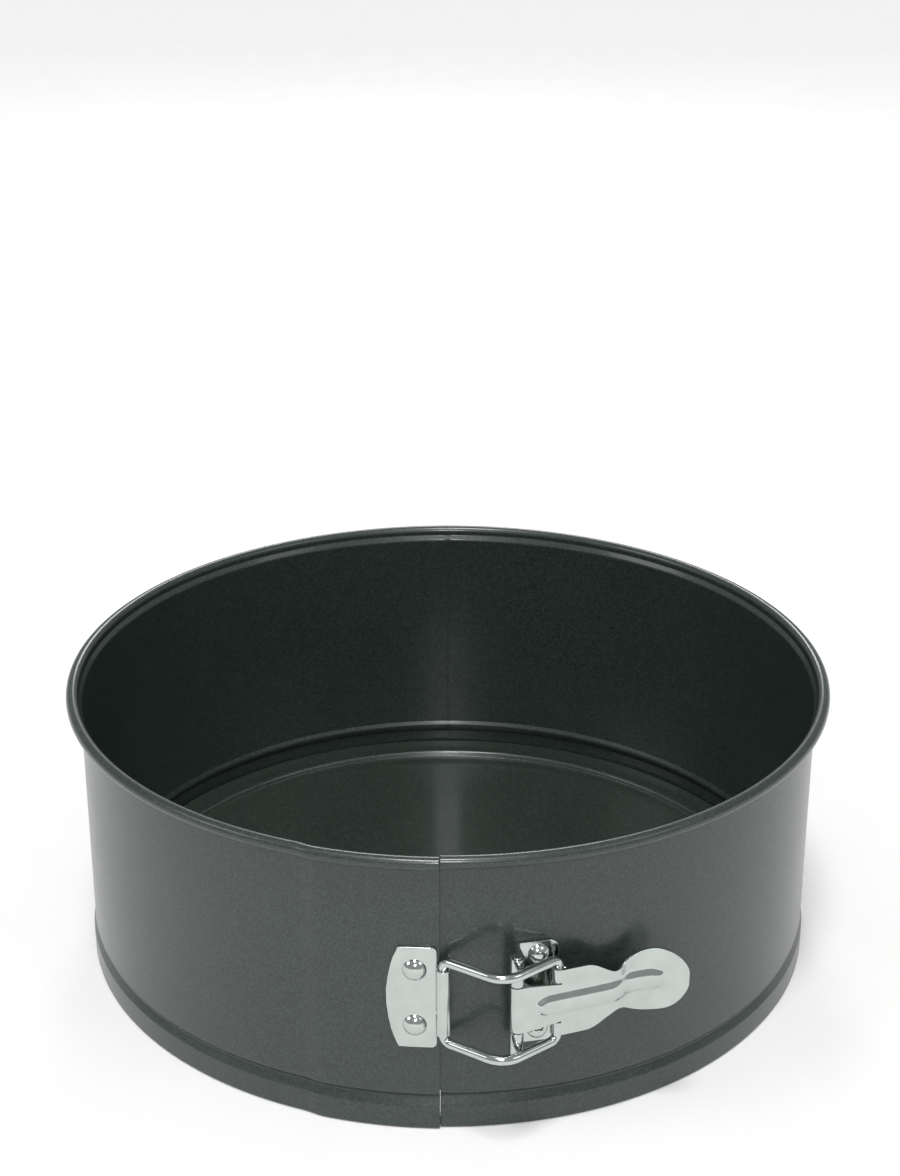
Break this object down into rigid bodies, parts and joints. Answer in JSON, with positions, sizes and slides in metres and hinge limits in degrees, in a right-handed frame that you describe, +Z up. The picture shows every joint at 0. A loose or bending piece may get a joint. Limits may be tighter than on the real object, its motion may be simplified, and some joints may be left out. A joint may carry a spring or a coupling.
{
  "type": "springform pan",
  "caption": "Round springform cake pan: a split band with a rolled rim round a loose base disc, drawn tight by an over-centre lever clasp with a bowed wire link.",
  "frame": {"origin": "on the pan's axis, in the plane the pan stands on", "axes": "+Z up along the pan's axis; the clasp and the band's seam are at the front, towards -Y; +X to the right of someone facing the clasp"},
  "size_m": [0.208, 0.2158, 0.0785],
  "materials": {
    "band_coating": "semi-gloss dark grey non-stick coating on steel sheet, with a fine metallic fleck",
    "disc_coating": "semi-gloss dark grey non-stick coating on steel sheet, with a fine metallic fleck",
    "clasp_sheet": "bright plated pressed steel",
    "clasp_wire": "bright plated drawn wire",
    "rivet": "bright plated, polished dome"
  },
  "bodies": {
    "base": {"base_disc": "disc_coating"},
    "ring": {"side_band": "band_coating", "hinge_bracket": "clasp_sheet", "bracket_rivet_upper": "rivet", "bracket_rivet_lower": "rivet", "hinge_pin": "clasp_wire"},
    "lever": {"lever": "clasp_sheet"},
    "link": {"wire_link": "clasp_wire"},
    "band_end": {"strike_plate": "clasp_sheet", "strike_rivet_upper": "rivet", "strike_rivet_lower": "rivet"}
  },
  "joints": [
    {"name": "ring_lift", "type": "slide", "parent": "base", "child": "ring", "axis": [0, 0, 1], "range_m": [0, 0.09]},
    {"name": "lever_swing", "type": "hinge", "parent": "ring", "child": "lever", "pos_m": [0.0164, -0.10553, 0.0386], "axis": [0, 0, -1], "range_deg": [0, 150]},
    {"name": "link_swing", "type": "hinge", "parent": "lever", "child": "link", "pos_m": [0.02635, -0.10187, 0.0386], "axis": [0, 0, 1], "range_deg": [0, 124], "deforming": ["wire_link"]},
    {"name": "band_spread", "type": "hinge", "parent": "ring", "child": "band_end", "pos_m": [0, 0.10005, 0.0386], "axis": [0, 0, -1], "range_deg": [0, 4.1], "deforming": ["side_band"]}
  ],
  "couplings": [
    {"joint": "link_swing", "follows": "lever_swing", "ratio": 0.82316},
    {"joint": "band_spread", "follows": "lever_swing", "ratio": 0.026934}
  ]
}
